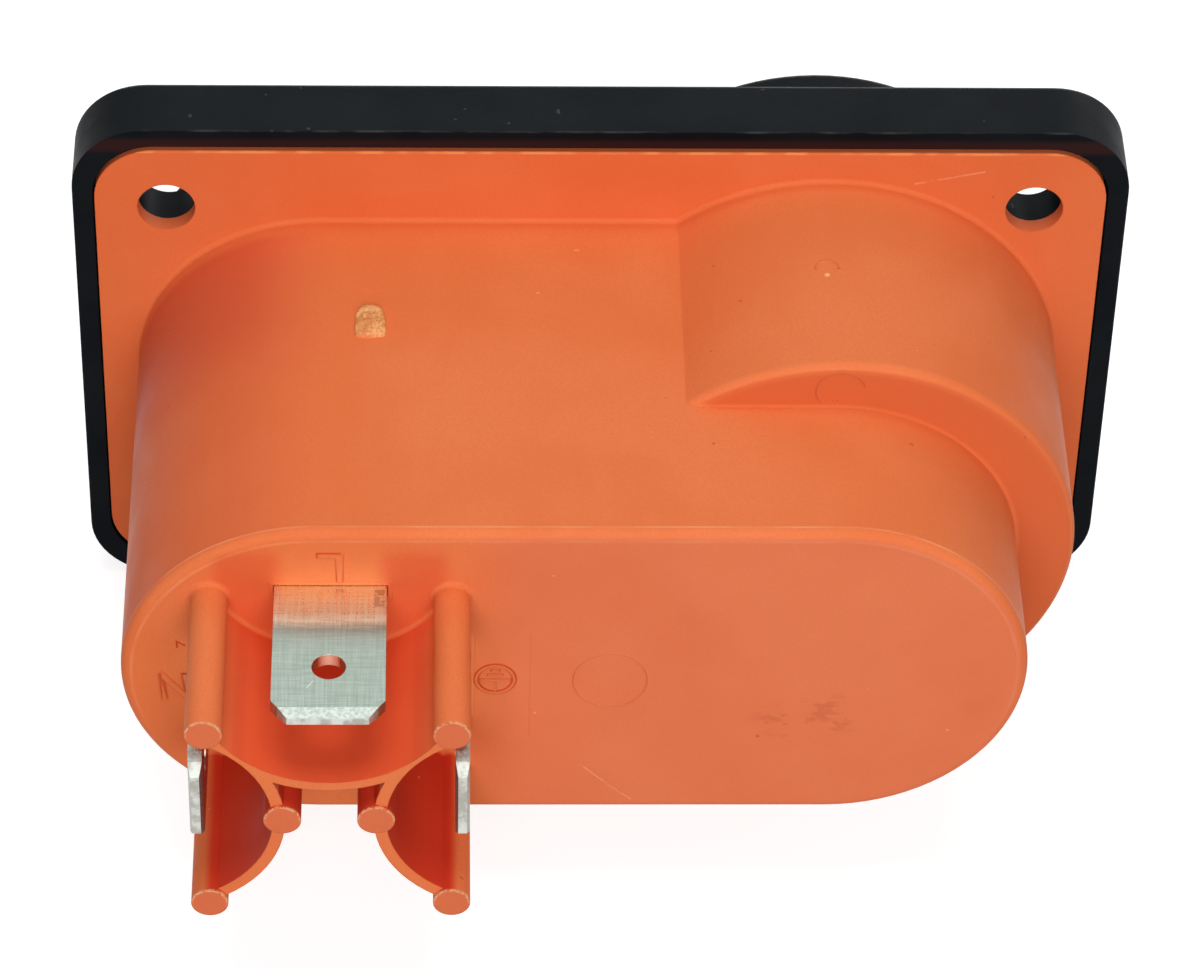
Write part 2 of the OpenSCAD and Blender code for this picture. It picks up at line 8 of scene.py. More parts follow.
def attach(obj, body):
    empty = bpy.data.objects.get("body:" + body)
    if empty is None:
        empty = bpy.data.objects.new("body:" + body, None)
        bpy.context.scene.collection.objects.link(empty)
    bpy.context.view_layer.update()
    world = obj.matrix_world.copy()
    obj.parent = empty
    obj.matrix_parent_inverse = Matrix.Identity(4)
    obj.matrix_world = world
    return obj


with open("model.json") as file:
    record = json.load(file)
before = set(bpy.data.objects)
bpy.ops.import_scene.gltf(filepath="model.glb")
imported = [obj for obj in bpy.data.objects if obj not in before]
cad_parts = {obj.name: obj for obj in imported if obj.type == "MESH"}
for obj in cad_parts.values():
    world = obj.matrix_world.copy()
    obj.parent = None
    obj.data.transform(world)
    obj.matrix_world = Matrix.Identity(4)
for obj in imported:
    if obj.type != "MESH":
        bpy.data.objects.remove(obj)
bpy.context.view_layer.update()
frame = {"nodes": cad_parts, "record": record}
nodes = frame["nodes"]
MM = 0.001

# ---- Sizes that part.scad also has, in mm
BODY_R, BODY_HALF, BODY_SHIFT, BODY_LEN = 11.1, 14.725, 1.775, 26.7
BOSS_X, BOSS_R, BOSS_LEN, EDGE_R = -13.4, 14.2, 16.3, 0.6
PLATE_W, PLATE_H, FLANGE_H = 62.2, 35.8, 32.8
INLET_X, SHROUD_END = 15.6, 37.5
TAB_W, TAB_T, TAB_TIP, TAB_RISE, TAB_ASIDE = 6.3, 0.8, 36.9, 6.7, 7.4
DETENT_Y = TAB_TIP - 3.8
# The shroud, seen from behind with x from the tabs' centre: the posts' middles (x, z),
# the line trough (z, radius, wall) and a side trough (x, z, radius, wall)
POST_R = 1.05
POSTS = [(6.8, 6.2), (6.8, -7.3), (2.6, -0.55)]
LINE_HOLLOW = (2.25 + 7.2, 7.2, 0.6)
SIDE_HOLLOW = (3.15 + 6.6, -0.7, 6.6, 0.7)

# ---- Moulded marks and marks of use, in mm
# The broken-off gate: middle in X and Y, half width, half length and height
SCAR = (13.52, 9.10, 0.86, 1.22, 0.42)
BOSS_GATE = (-12.82, 8.30)
# The polarity marks as paths of (x, z) on the rear face, and their half width
LINE_PATH = [(16.30, 9.42), (15.08, 9.42), (15.08, 7.45)]
NEUTRAL_PATH = [(25.14, -1.93), (25.28, 0.06), (23.82, -1.87), (23.98, 0.10)]
MARK_HALF, MARK_RISE = 0.13, 0.09
# The earth mark: its ring, and each bar's half width and height over the ring's middle
EARTH_X, EARTH_Z, EARTH_R = 6.33, -0.33, 1.08
EARTH_BARS = ((0.86, -0.06), (0.43, 0.33), (0.24, 0.68))
# Straight strokes (x0, z0, x1, z1, half width) on the rear face and on the flange
TICK = [(24.34, 2.71, 24.32, 2.19, 0.03), (24.25, 2.63, 23.87, 2.35, 0.03)]
PALE_SCRATCH = [(1.51, -7.20, -0.41, -9.17, 0.02), (-0.41, -9.17, -1.64, -10.27, 0.02)]
FLANGE_SCRATCH = [(-18.42, 14.05, -22.48, 14.99, 0.03)]
# Strokes (x0, y0, x1, y1, half width) on top of the line tab
TAB_SCRATCHES = [(18.07, 27.46, 17.45, 27.57, 0.03), (14.94, 27.69, 14.55, 27.61, 0.03),
                 (16.44, 34.19, 16.79, 34.73, 0.01)]

# ---- Camera, fitted to the photograph: focal length in its pixels, angles in degrees, place in mm
PHOTO_W, SENSOR_W = 1200, 36
CAM_F, CAM_YAW, CAM_EL, CAM_ROLL = 5399.851, 2.345, 43.3, 1.69
CAM_POS = (9.535, 242.701, 218.657)


def make_camera():
    yaw, el, roll = (math.radians(a) for a in (CAM_YAW, CAM_EL, CAM_ROLL))
    forward = Vector((-math.sin(yaw) * math.cos(el), -math.cos(yaw) * math.cos(el), -math.sin(el)))
    level = forward.cross(Vector((0, 0, 1))).normalized()
    upright = level.cross(forward)
    right = level * math.cos(roll) + upright * math.sin(roll)
    up = upright * math.cos(roll) - level * math.sin(roll)
    cam = bpy.data.objects.new("camera", bpy.data.cameras.new("camera"))
    bpy.context.scene.collection.objects.link(cam)
    m = Matrix((right, up, -forward)).transposed().to_4x4()
    m.translation = Vector(CAM_POS) * MM
    cam.matrix_world = m
    cam.data.sensor_width = SENSOR_W
    cam.data.lens = SENSOR_W * CAM_F / PHOTO_W
    cam.data.clip_start, cam.data.clip_end = 0.01, 10
    bpy.context.scene.camera = cam


# ---- Material helpers

class Graph:
    """Adds shader nodes with few words. Numbers and sockets both work as inputs."""

    def __init__(self, name):
        self.m = bpy.data.materials.new(name)
        self.m.use_nodes = True
        self.nt = self.m.node_tree
        self.base = None
        self.obj = self.nt.nodes.new("ShaderNodeTexCoord").outputs["Object"]
        sep = self.nt.nodes.new("ShaderNodeSeparateXYZ")
        self.nt.links.new(self.stretch(1 / MM, 1 / MM, 1 / MM), sep.inputs[0])
        self.x, self.y, self.z = sep.outputs

    def put(self, socket, value):
        if hasattr(value, "is_output"):
            self.nt.links.new(value, socket)
        elif hasattr(value, "__len__") and len(value) == 3 and socket.type == "RGBA":
            socket.default_value = (*value, 1)
        else:
            socket.default_value = value

    def stretch(self, sx, sy, sz):
        """The object's coordinates, which are in metres, times a factor for each axis."""
        n = self.nt.nodes.new("ShaderNodeVectorMath")
        n.operation = "MULTIPLY"
        self.put(n.inputs[0], self.obj)
        n.inputs[1].default_value = (sx, sy, sz)
        return n.outputs[0]

    def math(self, op, a, b=0.0):
        n = self.nt.nodes.new("ShaderNodeMath")
        n.operation = op
        self.put(n.inputs[0], a)
        self.put(n.inputs[1], b)
        return n.outputs[0]

    def add(self, a, b): return self.math("ADD", a, b)
    def sub(self, a, b): return self.math("SUBTRACT", a, b)
    def most(self, a, b): return self.math("MAXIMUM", a, b)
    def size(self, a): return self.math("ABSOLUTE", a)

    def mul(self, a, *more):
        for b in more:
            a = self.math("MULTIPLY", a, b)
        return a

    def step(self, v, lo, hi, a=0.0, b=1.0):
        """a where v is at lo, b where it is at hi, smooth between them and level beyond."""
        n = self.nt.nodes.new("ShaderNodeMapRange")
        n.interpolation_type = "SMOOTHSTEP"
        n.clamp = True
        for i, val in enumerate((v, lo, hi, a, b)):
            self.put(n.inputs[i], val)
        return n.outputs[0]

    def near(self, v, mid, half, soft):
        """1 where v is within half of mid, falling to 0 over soft."""
        return self.step(self.size(self.sub(v, mid)), half, half + soft, 1.0, 0.0)

    def dist(self, cu, cv, u=None, v=None):
        """Distance in mm from a line along Y at x, z = cu, cv, or in another plane's u and v."""
        a = self.sub(self.x if u is None else u, cu)
        b = self.sub(self.z if v is None else v, cv)
        return self.math("SQRT", self.add(self.mul(a, a), self.mul(b, b)))

    def noise(self, scale, detail=2.0, vec=None, rough=0.5):
        n = self.nt.nodes.new("ShaderNodeTexNoise")
        self.put(n.inputs["Vector"], self.obj if vec is None else vec)
        n.inputs["Scale"].default_value = scale
        n.inputs["Detail"].default_value = detail
        n.inputs["Roughness"].default_value = rough
        return n.outputs[0]

    def grain(self, stretch, detail, rough=0.5):
        """Noise that is drawn out, by a factor for each axis."""
        return self.noise(1, detail, self.stretch(*stretch), rough)

    def mix(self, f, a, b):
        n = self.nt.nodes.new("ShaderNodeMix")
        n.data_type = "RGBA"
        self.put(n.inputs[0], f)
        self.put(n.inputs[6], a)
        self.put(n.inputs[7], b)
        return n.outputs[2]

    def paint(self, color, mask, *strength):
        """Lays a colour over the base colour where the mask is, times the strengths."""
        self.base = self.mix(self.mul(mask, *strength), self.base, color)

    def strokes(self, u, v, lines, soft):
        """1 along straight strokes (u0, v0, u1, v1, half width), 0 elsewhere."""
        total = None
        for u0, v0, u1, v1, half in lines:
            n = math.hypot(u1 - u0, v1 - v0)
            c, s = (u1 - u0) / n, (v1 - v0) / n
            du, dv = self.sub(u, (u0 + u1) / 2), self.sub(v, (v0 + v1) / 2)
            along = self.add(self.mul(du, c), self.mul(dv, s))
            across = self.sub(self.mul(dv, c), self.mul(du, s))
            one = self.mul(self.near(along, 0, n / 2, soft), self.near(across, 0, half, soft))
            total = one if total is None else self.most(total, one)
        return total

    def normal_axis(self, axis):
        geo = self.nt.nodes.new("ShaderNodeNewGeometry")
        sep = self.nt.nodes.new("ShaderNodeSeparateXYZ")
        self.nt.links.new(geo.outputs["True Normal"], sep.inputs[0])
        return sep.outputs[axis]

    def finish(self, rough, height, bump, depth, soften=0.0, **fixed):
        """Joins the base colour, roughness and bump to the shader. Lengths are in mm."""
        bsdf = self.nt.nodes["Principled BSDF"]
        self.put(bsdf.inputs["Base Color"], self.base)
        self.put(bsdf.inputs["Roughness"], rough)
        for k, v in fixed.items():
            bsdf.inputs[k.replace("_", " ")].default_value = v
        bp = self.nt.nodes.new("ShaderNodeBump")
        bp.inputs["Strength"].default_value = bump
        bp.inputs["Distance"].default_value = depth * MM
        self.put(bp.inputs["Height"], height)
        if soften:
            bevel = self.nt.nodes.new("ShaderNodeBevel")
            bevel.samples = 2
            bevel.inputs["Radius"].default_value = soften * MM
            self.nt.links.new(bevel.outputs[0], bp.inputs["Normal"])
        self.nt.links.new(bp.outputs[0], bsdf.inputs["Normal"])
        return self.m


def legs(path, half):
    """The legs of a path, as strokes of one half width."""
    return [(*a, *b, half) for a, b in zip(path, path[1:])]


# ---- The orange plastic

ORANGE = {
    "dark": (0.768, 0.180, 0.058), "light": (0.803, 0.206, 0.073),
    "streak": (0.84, 0.235, 0.090), "mottle": (0.70, 0.140, 0.040),
    "shroud": (0.84, 0.070, 0.024), "trough": (0.56, 0.022, 0.014),
    "flange": (0.70, 0.120, 0.036), "step": (0.68, 0.140, 0.046),
    "end": (0.66, 0.098, 0.042), "pale_edge_and_dull_zone": (0.92, 0.44, 0.24),
    "flange_edge_highlight": (0.95, 0.38, 0.13), "scratch": (0.95, 0.45, 0.26),
    "post_tip": (0.62, 0.140, 0.072), "post_rim": (0.86, 0.46, 0.24),
    "rear": (0.74, 0.200, 0.125), "beside_mark_shade": (0.70, 0.075, 0.028),
    "smudge": (0.48, 0.085, 0.04), "handled": (0.62, 0.13, 0.05),
    "mark_shade_and_lines": (0.56, 0.036, 0.012), "gate_dot": (0.90, 0.52, 0.20),
    "torn_dark": (0.66, 0.25, 0.085), "torn_light": (0.86, 0.46, 0.19),
    "dark_dust": (0.30, 0.07, 0.03), "pale_dust": (0.95, 0.45, 0.28),
}


def body_radius(g):
    """Distance in mm from the body's long middle line."""
    dx = g.most(g.sub(g.size(g.sub(g.x, BODY_SHIFT)), BODY_HALF), 0.0)
    return g.math("SQRT", g.add(g.mul(dx, dx), g.mul(g.z, g.z)))


def painted_shade(g, aside, radius):
    """Painted shade: a deeper red in the shroud's hollows, where only plastic lights them, and a
    darker red on the flange, the boss's step and the body's end.
    """
    line_z, line_r, _ = LINE_HOLLOW
    side_x, side_z, side_r, _ = SIDE_HOLLOW
    to_line, to_side = g.dist(0.0, line_z, aside), g.dist(side_x, side_z, aside)
    in_line = g.mul(g.step(to_line, line_r + 0.45, line_r + 0.25), g.step(g.z, 6.4, 3.2))
    in_side = g.mul(g.step(to_side, side_r + 0.35, side_r + 0.15), g.step(aside, 7.2, 6.6))
    between = g.mul(g.step(aside, 3.7, 3.5), g.step(g.z, 1.6, 1.3),
                    g.step(to_side, side_r + 0.45, side_r + 0.55))
    wall = g.mul(g.step(g.y, BODY_LEN + 0.01, BODY_LEN + 0.4),
                 g.step(g.normal_axis(1), 0.4, 0.7, 1, 0))
    deep = g.most(in_side, between)
    # Painted shade: deeper red on the walls inside the line trough, the side troughs and between
    # them
    g.paint(ORANGE["shroud"], g.most(g.mul(in_line, 0.8), deep), wall, 0.9)
    g.paint(ORANGE["trough"], deep, wall, 0.5)
    # Painted shade on the flange, on the boss's step, and on the body's end beside the inlet,
    # towards the flange
    g.paint(ORANGE["flange"], g.step(g.y, 1.0, 0.3, 0, 0.30))
    step_face = g.mul(g.near(g.y, BOSS_LEN, 0.05, 0.10), g.step(radius, BODY_R + 0.1, BODY_R + 0.4))
    g.paint(ORANGE["step"], step_face, 0.9)
    end = g.mul(g.step(g.x, 15.0, 21.5), g.step(g.y, 7.0, 15.0, 0.85, 0.35))
    g.paint(ORANGE["end"], end, g.step(g.y, 0.3, 1.5), g.step(g.y, BODY_LEN - 0.3, BODY_LEN - 0.7))


def edge_wear_and_highlights(g, coarse, radius):
    # Pale lines where the rear edge's rounding starts and ends, partly wear and partly a painted
    # highlight
    outer = g.mul(g.near(g.y, BODY_LEN - EDGE_R, 0.035, 0.06),
                  g.step(radius, BODY_R - 0.3, BODY_R - 0.15))
    inner = g.mul(g.near(radius, BODY_R - EDGE_R, 0.05, 0.08),
                  g.step(g.y, BODY_LEN - 0.08, BODY_LEN - 0.03))
    g.paint(ORANGE["pale_edge_and_dull_zone"], g.most(g.mul(outer, 0.44), g.mul(inner, 0.24)),
            g.step(g.z, -8.0, 2.0), g.step(coarse, 0.30, 0.70, 0.25, 1.0))
    # Painted highlight along the top edge of the flange, in dashes
    dash = g.step(g.grain((420, 1, 1), 1), 0.44, 0.56, 0.15, 0.70)
    top = g.step(g.z, FLANGE_H / 2 - 0.22, FLANGE_H / 2 - 0.12)
    g.paint(ORANGE["flange_edge_highlight"], top, g.near(g.y, 0, 0.02, 0.05), dash)


def post_tips(g, aside, mid, mottle):
    """Redder tips of the posts, each with a pale ragged rim on its upper side, which is partly wear
    and partly a painted highlight.
    """
    rim = None
    for px, pz in POSTS:
        ragged = g.add(g.dist(px, pz, aside), g.mul(mid, 0.25))
        one = g.mul(g.near(ragged, POST_R + 0.10, 0.08, 0.06), g.step(g.sub(g.z, pz), -0.5, 0.5))
        rim = one if rim is None else g.most(rim, one)
    tips = g.step(g.y, SHROUD_END - 0.12, SHROUD_END - 0.03)
    g.paint(ORANGE["post_tip"], tips, 0.5)
    g.paint(ORANGE["post_rim"], rim, tips, g.step(mottle, 0.35, 0.55), 0.8)


def rear_face(g, aside, coarse, mid):
    """Tints with painted shade, a smudge, painted shade at the base of the marks, a tick, the
    witness line and scratches. Returns the smudge's mask.
    """
    rear = g.near(g.y, BODY_LEN, 0.02, 0.05)
    # Painted shade: paler away from the shroud, so darker near it, and redder beside the L mark
    g.paint(ORANGE["rear"], rear, g.step(g.x, 4.0, 9.0, 0.30, 0.0))
    g.paint(ORANGE["beside_mark_shade"], rear,
            g.near(aside, 4.7, 1.2, 1.2), g.near(g.z, 6.4, 2.4, 1.6), 0.45)
    # A smudge, which is wider than it is high, and faint handling marks
    squeeze = 0.62
    spot = g.step(g.dist(-11.6 * squeeze, -3.4, g.mul(g.x, squeeze)), 1.0, 2.6, 1, 0)
    smudge = g.mul(rear, spot, g.step(g.grain((420, 1, 760), 4, 0.68), 0.50, 0.60))
    g.paint(ORANGE["smudge"], smudge, 0.34)
    g.paint(ORANGE["handled"], rear, g.step(coarse, 0.56, 0.74), 0.10)
    # Painted shade at the base of the raised marks, and a dark tick and the mould's witness line
    mark_shade_and_lines = g.most(g.strokes(g.x, g.z, legs(LINE_PATH, MARK_HALF), 0.16),
                  g.mul(g.strokes(g.x, g.z, legs(NEUTRAL_PATH, MARK_HALF), 0.16), 0.65))
    bars = [(EARTH_X + h, EARTH_Z + dz, EARTH_X - h, EARTH_Z + dz, 0.06) for h, dz in EARTH_BARS]
    bars = g.strokes(g.x, g.z, bars, 0.08)
    ring = g.near(g.dist(EARTH_X, EARTH_Z), EARTH_R, 0.10, 0.12)
    tick = g.strokes(g.x, g.z, TICK, 0.05)
    witness = g.mul(g.near(g.x, 4.35, 0.02, 0.06), g.near(g.z, -0.9, 4.1, 0.1), 0.14)
    for more in (bars, ring, tick, witness):
        mark_shade_and_lines = g.most(mark_shade_and_lines, more)
    g.paint(ORANGE["mark_shade_and_lines"], mark_shade_and_lines, rear, 0.92)
    # Scratches on the rear face and on the flange
    scored = g.most(g.mul(rear, g.strokes(g.x, g.z, PALE_SCRATCH, 0.05)),
                    g.mul(g.near(g.y, 0, 0.02, 0.05), g.strokes(g.x, g.z, FLANGE_SCRATCH, 0.06)))
    g.paint(ORANGE["scratch"], scored, g.step(mid, 0.38, 0.54), 0.4)
    return smudge


def gates(g, mid, mottle, radius):
    """The torn gate is pale where the plastic was stretched, and the boss's gate left a dot."""
    sx, sy, wide, long, _ = SCAR
    stub = g.mul(g.near(g.x, sx, wide, 0.25), g.near(g.y, sy, long, 0.25),
                 g.step(radius, BODY_R + 0.01, BODY_R + 0.06))
    torn = g.mix(g.step(g.add(g.mul(mid, 0.5), g.mul(mottle, 0.5)), 0.40, 0.60),
                 ORANGE["torn_dark"], ORANGE["torn_light"])
    g.paint(torn, stub, 0.9)
    dot = g.mul(g.step(g.dist(*BOSS_GATE, g.x, g.y), 0.20, 0.10), g.step(g.z, 13.0, 13.5))
    g.paint(ORANGE["gate_dot"], dot, 0.85)


def orange_plastic():
    g = Graph("orange_plastic")
    coarse, mid, mottle = g.noise(300, 3), g.noise(900, 3, rough=0.65), g.noise(7000, 1)
    aside = g.size(g.sub(g.x, INLET_X))
    radius = body_radius(g)
    g.base = g.mix(g.step(g.noise(90, 2), 0.35, 0.65), ORANGE["dark"], ORANGE["light"])
    # Flow streaks away from the gates, and the fine mottle of the moulded surface
    g.paint(ORANGE["streak"], g.step(g.grain((420, 60, 420), 2, 0.6), 0.5, 0.8, 0, 0.22))
    g.paint(ORANGE["mottle"], g.step(mottle, 0.35, 0.65, 0, 0.22))
    painted_shade(g, aside, radius)
    edge_wear_and_highlights(g, coarse, radius)
    post_tips(g, aside, mid, mottle)
    smudge = rear_face(g, aside, coarse, mid)
    gates(g, mid, mottle, radius)
    dust = g.noise(2100, 0)
    g.paint(ORANGE["dark_dust"], g.step(dust, 0.885, 0.90, 0, 0.45))
    g.paint(ORANGE["pale_dust"], g.step(dust, 0.115, 0.10, 0, 0.40))
    rough = g.sub(g.step(coarse, 0.3, 0.7, 0.40, 0.52), g.mul(smudge, 0.10))
    return g.finish(rough, g.add(mottle, mid), 0.22, 0.03, soften=0.12, Specular_IOR_Level=0.05)


# ---- The other materials of the record

def black_plastic():
    g = Graph("black_plastic")
    g.base = g.mix(g.step(g.noise(160, 3), 0.35, 0.65),
                   (0.0034, 0.0052, 0.0072), (0.0056, 0.0078, 0.0098))
    # Worn pale flecks along the outer edge that meets the panel
    side = g.most(g.sub(g.size(g.x), PLATE_W / 2), g.sub(g.size(g.z), PLATE_H / 2))
    edge = g.mul(g.step(side, -0.10, -0.03), g.step(g.y, -0.16, -0.05))
    worn = g.step(g.grain((500, 2200, 2200), 3), 0.40, 0.70)
    g.paint((0.16, 0.18, 0.18), edge, worn, 0.22)
    # Painted reflection of the orange plastic along the rim's top run
    top = g.mul(g.near(g.z, PLATE_H / 2 - 1.1, 0.25, 0.45), g.near(g.y, 0, 0.03, 0.05))
    g.paint((0.032, 0.011, 0.010), top, 0.75)
    g.paint((0.11, 0.13, 0.13), g.step(g.noise(2100, 0), 0.86, 0.875), 0.28)
    rough = g.step(g.noise(420, 4, rough=0.6), 0.3, 0.7, 0.40, 0.52)
    grain = g.add(g.noise(6500, 2), g.mul(g.grain((5200, 400, 400), 2), 0.5))
    return g.finish(rough, grain, 0.25, 0.03, soften=0.12, Specular_IOR_Level=0.032)


def grey_plastic():
    g = Graph("grey_plastic")
    g.base = g.mix(g.step(g.noise(200, 3), 0.35, 0.65),
                   (0.040, 0.046, 0.050), (0.052, 0.058, 0.062))
    lines = g.step(g.grain((300, 2600, 300), 2), 0.35, 0.75)
    rough = g.add(g.mul(lines, 0.10), 0.42)
    return g.finish(rough, g.add(g.noise(6000, 2), lines), 0.2, 0.03, soften=0.1,
                    Specular_IOR_Level=0.15)


TIN = {
    "root_reflection_dark": (0.66, 0.78, 0.66), "root_reflection_light": (0.72, 0.84, 0.72),
    "root_end_reflection": (0.84, 0.93, 0.80), "hole": (0.90, 0.64, 0.48),
    "dull_dark": (0.235, 0.280, 0.24), "dull_light": (0.325, 0.375, 0.335),
    "tip_dark": (0.26, 0.28, 0.265), "tip_light": (0.41, 0.43, 0.41),
    "shorn_dark": (0.38, 0.37, 0.33), "shorn_light": (0.62, 0.64, 0.60),
    "blot": (0.27, 0.31, 0.27), "corner": (0.26, 0.15, 0.10),
    "stain": (0.22, 0.17, 0.14), "scratch": (0.80, 0.83, 0.80),
}


def tinned_brass():
    g = Graph("tinned_brass")
    along, across = g.grain((9000, 300, 9000), 4, 0.6), g.grain((500, 7500, 500), 3, 0.6)
    weave = g.add(g.mul(along, 0.55), g.mul(across, 0.45))
    fibre = g.step(weave, 0.35, 0.65)
    # Painted reflection: the plating is bright near the root and brighter still at its very end,
    # and duller over the rest
    pale_edge_and_dull_zone = g.step(g.add(g.y, g.mul(g.sub(g.noise(240, 2), 0.5), 0.8)), 29.3, 30.3)
    root = g.mix(fibre, TIN["root_reflection_dark"], TIN["root_reflection_light"])
    root = g.mix(g.step(g.y, 29.4, 27.4), root, TIN["root_end_reflection"])
    g.base = g.mix(pale_edge_and_dull_zone, root, g.mix(fibre, TIN["dull_dark"], TIN["dull_light"]))
    g.paint(TIN["blot"], g.step(g.noise(330, 4, rough=0.6), 0.50, 0.72), pale_edge_and_dull_zone, 0.30)
    # The bevelled tip, where the shears left a rough bright face
    tip = g.step(g.y, TAB_TIP - 0.74, TAB_TIP - 0.66)
    torn = g.mix(g.step(g.noise(5200, 2), 0.35, 0.65), TIN["tip_dark"], TIN["tip_light"])
    g.paint(torn, tip, 0.75)
    # Bare metal in the detent holes
    holes = g.math("MINIMUM", g.dist(INLET_X, DETENT_Y, g.x, g.y), g.dist(0.0, DETENT_Y, g.z, g.y))
    flat_z = g.step(g.size(g.normal_axis(2)), 0.5, 0.7, 1, 0)
    flat_x = g.step(g.size(g.normal_axis(0)), 0.5, 0.7, 1, 0)
    cut = g.mul(g.step(holes, 1.0, 0.97), flat_z, flat_x)
    g.paint(TIN["hole"], cut)
    # Sheared edges stay bright and mottled. They face sideways on the line tab, which lies
    # level, and up and down on the other two.
    line = g.step(g.z, 6.0, 6.2)
    shorn = g.mix(line, flat_x, flat_z)
    mottled = g.step(g.noise(900, 4, rough=0.65), 0.40, 0.62)
    mottled = g.mix(mottled, TIN["shorn_dark"], TIN["shorn_light"])
    g.paint(mottled, shorn, g.step(g.y, BODY_LEN, BODY_LEN + 0.2), g.sub(1.0, cut), 0.85)
    # Brown traces on the line tab's cut corners
    corner = g.mul(line, g.step(g.size(g.sub(g.x, INLET_X)), 2.35, 2.6), g.step(g.y, 35.66, 35.8))
    corner = g.mul(corner, flat_z, g.step(g.noise(1800, 3), 0.40, 0.55))
    g.paint(TIN["corner"], corner, 0.8)
    # A dull stain near the root, and a few fine scratches
    stain = g.mul(line, g.near(g.x, 12.84, 0.24, 0.10), g.near(g.y, 27.7, 0.60, 0.12))
    g.paint(TIN["stain"], stain, g.step(g.noise(1900, 3), 0.34, 0.48), 0.45)
    marks = g.mul(line, g.strokes(g.x, g.y, TAB_SCRATCHES, 0.04))
    g.paint(TIN["scratch"], marks, 0.3)
    rough = g.add(g.step(weave, 0.35, 0.65, 0.20, 0.28), g.mul(tip, 0.22))
    rough = g.add(rough, g.mul(g.sub(1.0, pale_edge_and_dull_zone), 0.05))
    rough = g.add(rough, g.mul(g.most(cut, corner), 0.2))
    height = g.add(g.mul(weave, g.add(g.mul(pale_edge_and_dull_zone, 0.88), 0.12)), g.mul(marks, 0.2))
    return g.finish(rough, height, 0.15, 0.01, soften=0.05, Metallic=1.0)


def contact_copper():
    g = Graph("contact_copper")
    g.base = g.mix(g.step(g.noise(400, 4), 0.35, 0.65), (0.62, 0.30, 0.15), (0.74, 0.40, 0.21))
    roll = g.grain((6000, 350, 6000), 3, 0.6)
    return g.finish(g.step(roll, 0.3, 0.7, 0.24, 0.36), roll, 0.15, 0.01, soften=0.05, Metallic=1.0)


def spring_steel():
    g = Graph("spring_steel")
    roll = g.grain((350, 6500, 350), 3, 0.6)
    g.base = g.mix(g.step(roll, 0.35, 0.65), (0.34, 0.36, 0.39), (0.47, 0.49, 0.52))
    return g.finish(g.step(roll, 0.3, 0.7, 0.22, 0.34), roll, 0.15, 0.01, Metallic=1.0)


def seal_rubber():
    g = Graph("seal_rubber")
    g.base = g.mix(g.step(g.noise(500, 4), 0.35, 0.65),
                   (0.010, 0.010, 0.011), (0.019, 0.019, 0.020))
    return g.finish(g.step(g.noise(900, 3), 0.3, 0.7, 0.62, 0.78), g.noise(4500, 3), 0.3, 0.03,
                    Specular_IOR_Level=0.35)


MATERIALS = {make.__name__: make() for make in (
    orange_plastic, black_plastic, grey_plastic, tinned_brass, contact_copper, spring_steel,
    seal_rubber)}
slot_of = {s["node"]: s["material_slot"] for s in frame["record"]["subparts"]}
for name, o in nodes.items():
    o.data.materials.clear()
    o.data.materials.append(MATERIALS[slot_of[name]])


# ---- Added moulded details, in mm

def piece(name, verts, faces, material="orange_plastic", smooth=False):
    """A mesh object from points in mm, which rides on the body and takes a slot's finish."""
    me = bpy.data.meshes.new(name)
    me.from_pydata([tuple(c * MM for c in v) for v in verts], [], faces)
    me.validate()
    me.update()
    for p in me.polygons:
        p.use_smooth = smooth
    me.materials.append(MATERIALS[material])
    o = bpy.data.objects.new(name, me)
    bpy.context.scene.collection.objects.link(o)
    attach(o, "root")


def way(angle):
    """The unit vector at an angle in radians."""
    return math.cos(angle), math.sin(angle)


def raised_line(points, width, height, lift, closed=False, slope=0.07):
    """A raised moulded line on a face: lift(u, v, h) gives the point h above the face."""
    n, sink = len(points), 0.04
    section = ((-width / 2 - slope, -sink), (-width / 2, height),
               (width / 2, height), (width / 2 + slope, -sink))
    verts, faces = [], []
    for i, (u, v) in enumerate(points):
        a = points[(i - 1) % n] if closed or i > 0 else points[i]
        b = points[(i + 1) % n] if closed or i < n - 1 else points[i]
        du, dv = b[0] - a[0], b[1] - a[1]
        k = math.hypot(du, dv)
        nu, nv = -dv / k, du / k
        # Mitre at a sharp turn
        if closed or 0 < i < n - 1:
            k = math.hypot(u - a[0], v - a[1])
            nu0, nv0 = -(v - a[1]) / k, (u - a[0]) / k
            c = max(0.5, nu * nu0 + nv * nv0)
            nu, nv = nu / c, nv / c
        for side, h in section:
            verts.append(lift(u + nu * side, v + nv * side, h))
    for i in range(n if closed else n - 1):
        a, b = 4 * i, 4 * ((i + 1) % n)
        for k in range(3):
            faces.append((a + k, a + k + 1, b + k + 1, b + k))
    if not closed:
        faces.append((0, 1, 2, 3))
        e = 4 * (n - 1)
        faces.append((e + 3, e + 2, e + 1, e))
    return verts, faces


def joined(name, parts):
    verts, faces = [], []
    for v, f in parts:
        first = len(verts)
        verts += v
        faces += [tuple(i + first for i in q) for q in f]
    piece(name, verts, faces)


def on_rear(u, v, h):
    return (u, BODY_LEN + h, v)


def on_step(u, v, h):
    return (u, BOSS_LEN + h, v)


def on_boss(u, v, h):
    """u runs along X and v along Y on the boss's round top."""
    a = math.asin((u - BOSS_X) / BOSS_R)
    return (BOSS_X + (BOSS_R + h) * math.sin(a), v, (BOSS_R + h) * math.cos(a))


def arc(cu, cv, r, a0=0.0, a1=360.0, n=72):
    """Points on an arc of n sides. A full circle doesn't repeat its first point."""
    k = n if abs(a1 - a0) >= 360 else n + 1
    ways = [way(math.radians(a0 + (a1 - a0) * i / n)) for i in range(k)]
    return [(cu + r * c, cv + r * s) for c, s in ways]


